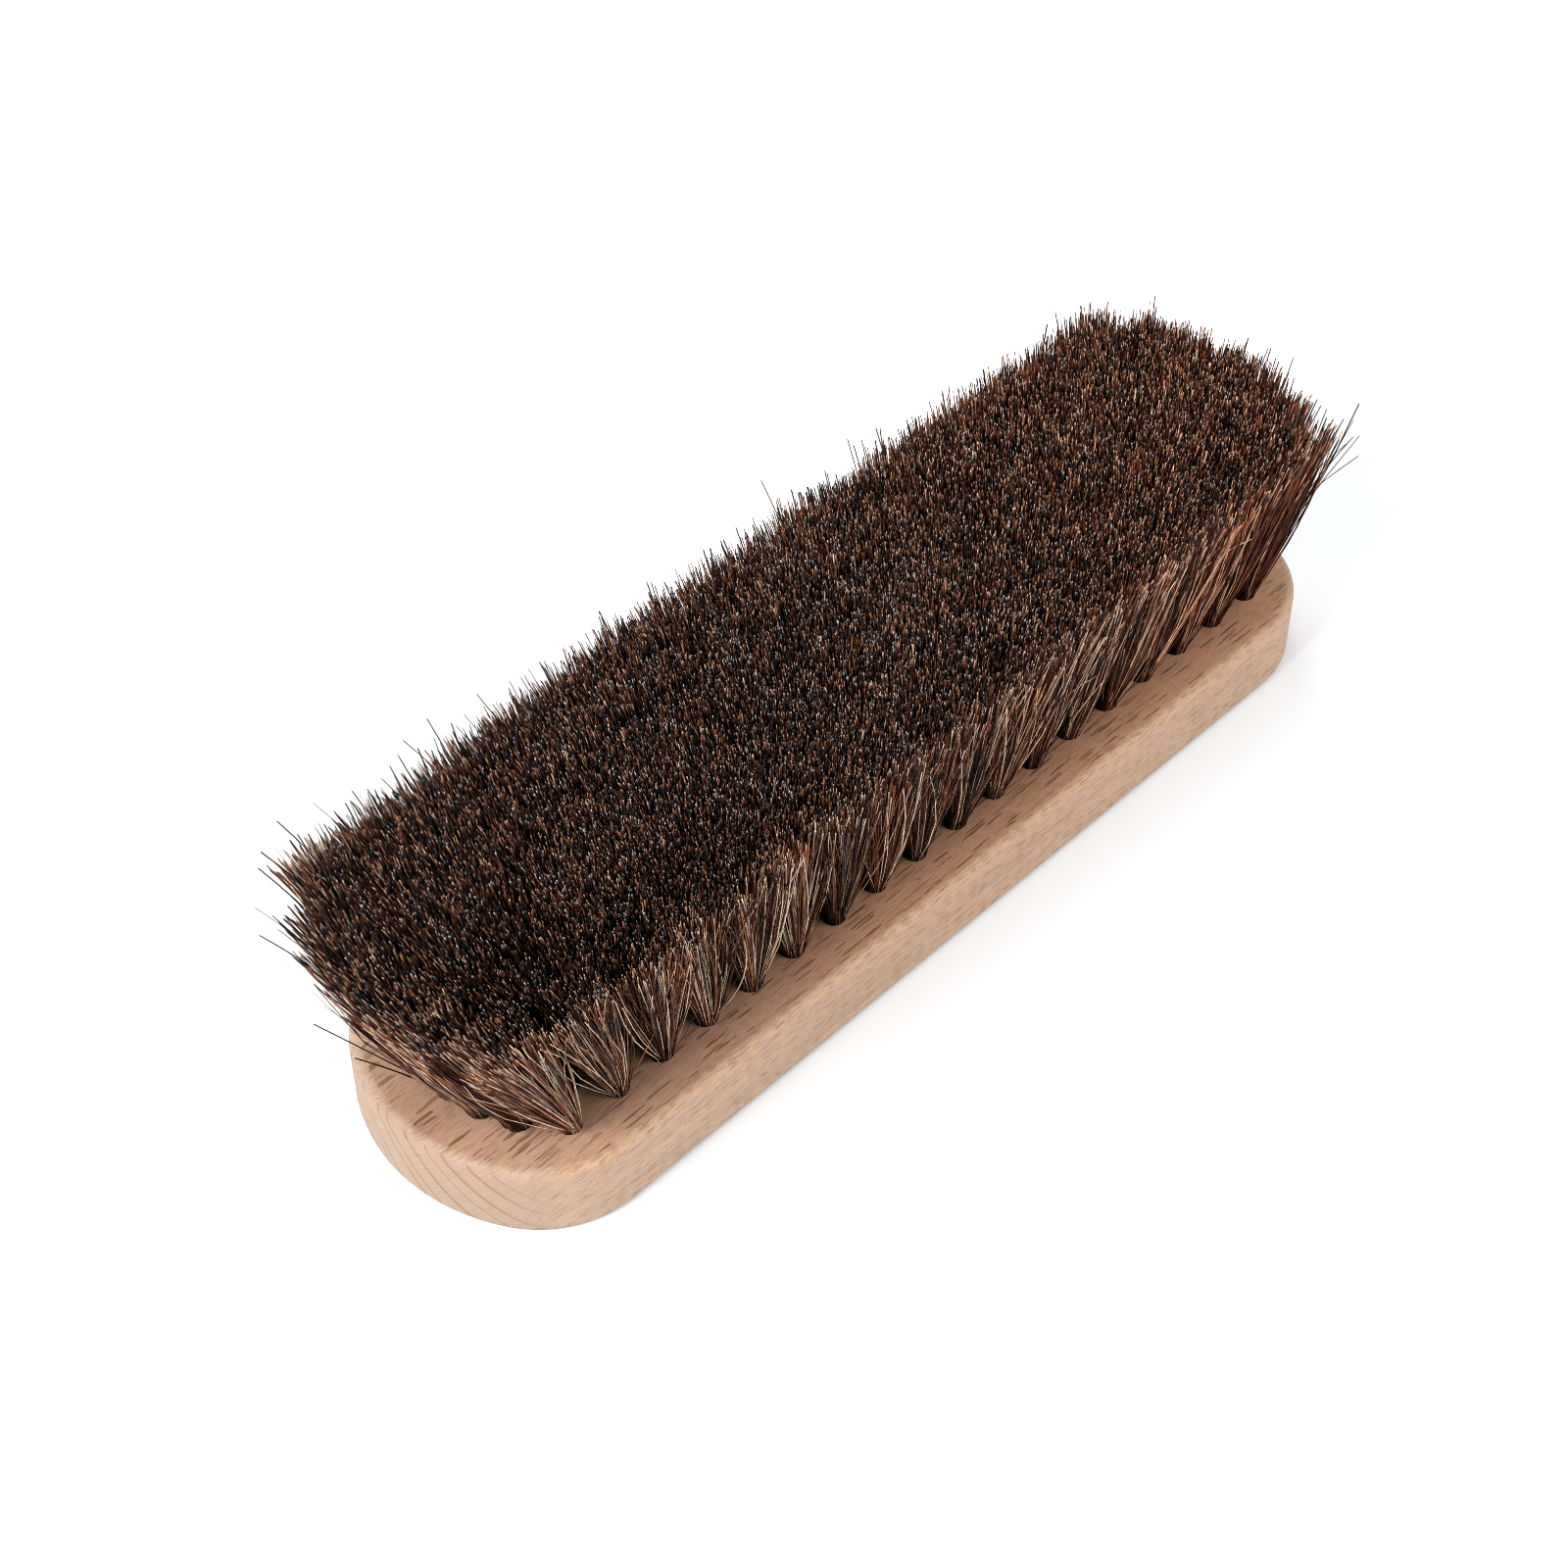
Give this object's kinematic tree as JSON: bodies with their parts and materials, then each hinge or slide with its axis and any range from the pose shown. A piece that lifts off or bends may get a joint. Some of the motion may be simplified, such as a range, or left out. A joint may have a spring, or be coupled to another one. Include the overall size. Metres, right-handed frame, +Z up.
{
  "type": "shoe shine brush",
  "caption": "Long oval wooden block with fanned rows of trimmed dark horsehair tufts, held in one hand to polish shoes.",
  "frame": {"origin": "middle of the block's flat back, which the brush rests on with its hair up", "axes": "+X along the brush, +Y across it, +Z up from the back towards the trimmed hair"},
  "size_m": [0.1769, 0.046, 0.039],
  "materials": {
    "beech": "bare sanded beech with a satin touch, ray flecks along the length",
    "horsehair": "mixed black, brown and blond hair with a soft gloss, tips cut level",
    "anchor_wire": "drawn flat wire"
  },
  "bodies": {
    "root": {"block": "beech", "anchors_row_1": "anchor_wire", "tufts_row_1_left": "horsehair", "tufts_row_1_middle": "horsehair", "tufts_row_1_right": "horsehair", "anchors_row_2": "anchor_wire", "tufts_row_2_left": "horsehair", "tufts_row_2_middle": "horsehair", "tufts_row_2_right": "horsehair", "anchors_row_3": "anchor_wire", "tufts_row_3_left": "horsehair", "tufts_row_3_middle": "horsehair", "tufts_row_3_right": "horsehair", "anchors_row_4": "anchor_wire", "tufts_row_4_left": "horsehair", "tufts_row_4_middle": "horsehair", "tufts_row_4_right": "horsehair", "anchors_row_5": "anchor_wire", "tufts_row_5_left": "horsehair", "tufts_row_5_middle": "horsehair", "tufts_row_5_right": "horsehair", "anchors_row_6": "anchor_wire", "tufts_row_6_left": "horsehair", "tufts_row_6_middle": "horsehair", "tufts_row_6_right": "horsehair", "anchors_row_7": "anchor_wire", "tufts_row_7_left": "horsehair", "tufts_row_7_middle": "horsehair", "tufts_row_7_right": "horsehair"}
  },
  "joints": []
}
